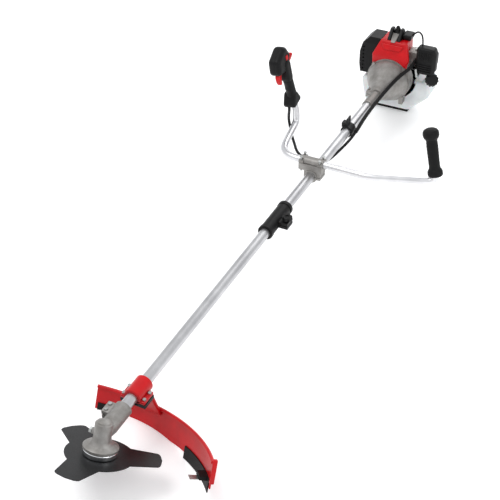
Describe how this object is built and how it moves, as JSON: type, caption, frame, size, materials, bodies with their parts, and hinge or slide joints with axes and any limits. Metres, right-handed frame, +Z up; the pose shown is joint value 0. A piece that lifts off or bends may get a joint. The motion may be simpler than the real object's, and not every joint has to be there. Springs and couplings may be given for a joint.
{
  "type": "brush cutter",
  "caption": "Brush cutter with a two-stroke engine, split drive tube, bull-horn handlebar, throttle grip, bevel gearhead, three-tooth blade and arc guard.",
  "frame": {"origin": "on the floor at the centre of the engine stand's base, under the drive tube's axis", "axes": "+Y along the drive tube from the blade to the engine, +X to the left of the operator, +Z up with the machine lying on its stand and its guard"},
  "size_m": [0.5227, 1.8558, 0.3992],
  "materials": {
    "tube_aluminium": "anodised satin",
    "bar_aluminium": "polished",
    "cast_aluminium": "as cast",
    "machined_steel": "machined",
    "gear_steel": "hardened",
    "bolt_steel": "zinc plated",
    "black_steel": "black coating",
    "blade_steel": "black satin",
    "chrome": "polished",
    "red_plastic": "glossy",
    "trigger_plastic": "satin",
    "black_plastic": "fine texture",
    "black_rubber": "moulded",
    "tank_plastic": "translucent",
    "ceramic": "glazed",
    "oiled_bronze": "sintered",
    "lining": "rough",
    "muffler_steel": "heat stained",
    "rope": "braided"
  },
  "bodies": {
    "main": {"upper_tube": "tube_aluminium", "upper_bushes": "oiled_bronze", "coupler_body": "black_plastic", "handlebar_mount": "cast_aluminium", "handlebar_cap": "cast_aluminium", "handlebar_bolts": "bolt_steel", "handlebar": "bar_aluminium", "right_grip": "black_rubber", "throttle_shell_left": "black_plastic", "throttle_shell_right": "black_plastic", "throttle_cable": "black_plastic", "cable_loom": "black_rubber", "harness_hanger": "black_steel", "clutch_housing": "cast_aluminium", "crankcase": "cast_aluminium", "connecting_rod": "machined_steel", "piston": "cast_aluminium", "cylinder_head": "cast_aluminium", "spark_plug": "ceramic", "plug_cover": "black_plastic", "top_cover": "red_plastic", "muffler": "muffler_steel", "muffler_guard": "black_plastic", "carburettor": "cast_aluminium", "air_filter": "black_plastic", "fuel_tank": "tank_plastic", "engine_stand": "black_plastic", "starter_housing": "black_plastic", "starter_rope": "rope"},
    "lower_unit": {"lower_tube": "tube_aluminium", "lower_bushes": "oiled_bronze", "gearbox_case": "cast_aluminium", "gearbox_bearings": "machined_steel", "gearbox_bolts": "bolt_steel", "guard_shield": "red_plastic", "guard_clamp": "black_steel", "guard_bolts": "bolt_steel", "guard_skirt": "black_rubber", "line_cutter": "bolt_steel"},
    "blade_set": {"spindle": "machined_steel", "bevel_gear": "gear_steel", "upper_flange": "chrome", "blade": "blade_steel", "lower_flange": "machined_steel", "blade_nut": "bolt_steel"},
    "lower_drive": {"pinion": "gear_steel", "lower_drive_shaft": "machined_steel"},
    "upper_drive": {"upper_drive_shaft": "machined_steel", "clutch_drum": "gear_steel"},
    "crank": {"crankshaft": "machined_steel", "flywheel": "cast_aluminium", "clutch_shoes": "lining"},
    "knob": {"coupler_knob": "black_plastic"},
    "trigger": {"throttle_trigger": "trigger_plastic"},
    "lockout": {"throttle_lockout": "trigger_plastic"},
    "switch": {"stop_switch": "trigger_plastic"},
    "carb_lever": {"carburettor_lever": "bolt_steel"},
    "choke": {"choke_lever": "bolt_steel"},
    "cap": {"fuel_cap": "black_plastic"},
    "pull": {"starter_handle": "black_rubber"}
  },
  "joints": [
    {"name": "lower_unit_slide", "type": "slide", "parent": "main", "child": "lower_unit", "axis": [0, -1, 0], "range_m": [0, 0.05]},
    {"name": "blade_spin", "type": "hinge", "parent": "lower_unit", "child": "blade_set", "pos_m": [0, -1.66, 0.13], "axis": [0, 0.4067, 0.9135], "continuous": true},
    {"name": "lower_drive_spin", "type": "hinge", "parent": "lower_unit", "child": "lower_drive", "pos_m": [0, -1.66, 0.13], "axis": [0, 1, 0], "continuous": true},
    {"name": "upper_drive_spin", "type": "hinge", "parent": "main", "child": "upper_drive", "pos_m": [0, -0.56, 0.13], "axis": [0, 1, 0], "continuous": true},
    {"name": "crank_spin", "type": "hinge", "parent": "main", "child": "crank", "pos_m": [0, -0.01, 0.13], "axis": [0, 1, 0], "continuous": true},
    {"name": "coupler_knob_turn", "type": "hinge", "parent": "main", "child": "knob", "pos_m": [0.032, -0.858, 0.13], "axis": [0, 0, 1], "range_deg": [0, 720]},
    {"name": "trigger_squeeze", "type": "hinge", "parent": "main", "child": "trigger", "pos_m": [-0.15967, -0.50036, 0.34012], "axis": [0.9848, 0, 0.1736], "range_deg": [0, 16], "stiffness_Nm_per_rad": 0.3, "springref_deg": -14.32},
    {"name": "carburettor_lever_turn", "type": "hinge", "parent": "main", "child": "carb_lever", "pos_m": [0.064, -0.01, 0.22], "axis": [0, 0, 1], "range_deg": [0, 64]},
    {"name": "lockout_press", "type": "hinge", "parent": "main", "child": "lockout", "pos_m": [-0.16108, -0.47742, 0.34811], "axis": [0.9848, 0, 0.1736], "range_deg": [0, 12], "stiffness_Nm_per_rad": 0.15, "springref_deg": -11.46},
    {"name": "stop_switch_slide", "type": "slide", "parent": "main", "child": "switch", "axis": [-0.171, -0.1736, 0.9698], "range_m": [0, 0.005]},
    {"name": "choke_turn", "type": "hinge", "parent": "main", "child": "choke", "pos_m": [0.082, -0.06, 0.18], "axis": [0, -1, 0], "range_deg": [0, 60]},
    {"name": "fuel_cap_turn", "type": "hinge", "parent": "main", "child": "cap", "pos_m": [0.125, -0.041, 0.145], "axis": [0.5043, -0.5736, 0.6455], "range_deg": [0, 90]},
    {"name": "starter_pull", "type": "slide", "parent": "main", "child": "pull", "axis": [0, 0, 1], "range_m": [0, 0.5], "stiffness_N_per_m": 8, "springref_m": -0.3, "deforming": ["starter_rope"]}
  ],
  "couplings": [
    {"joint": "lower_drive_spin", "follows": "blade_spin", "ratio": -1.3571},
    {"joint": "upper_drive_spin", "follows": "blade_spin", "ratio": -1.3571},
    {"joint": "carburettor_lever_turn", "follows": "trigger_squeeze", "ratio": 4}
  ]
}
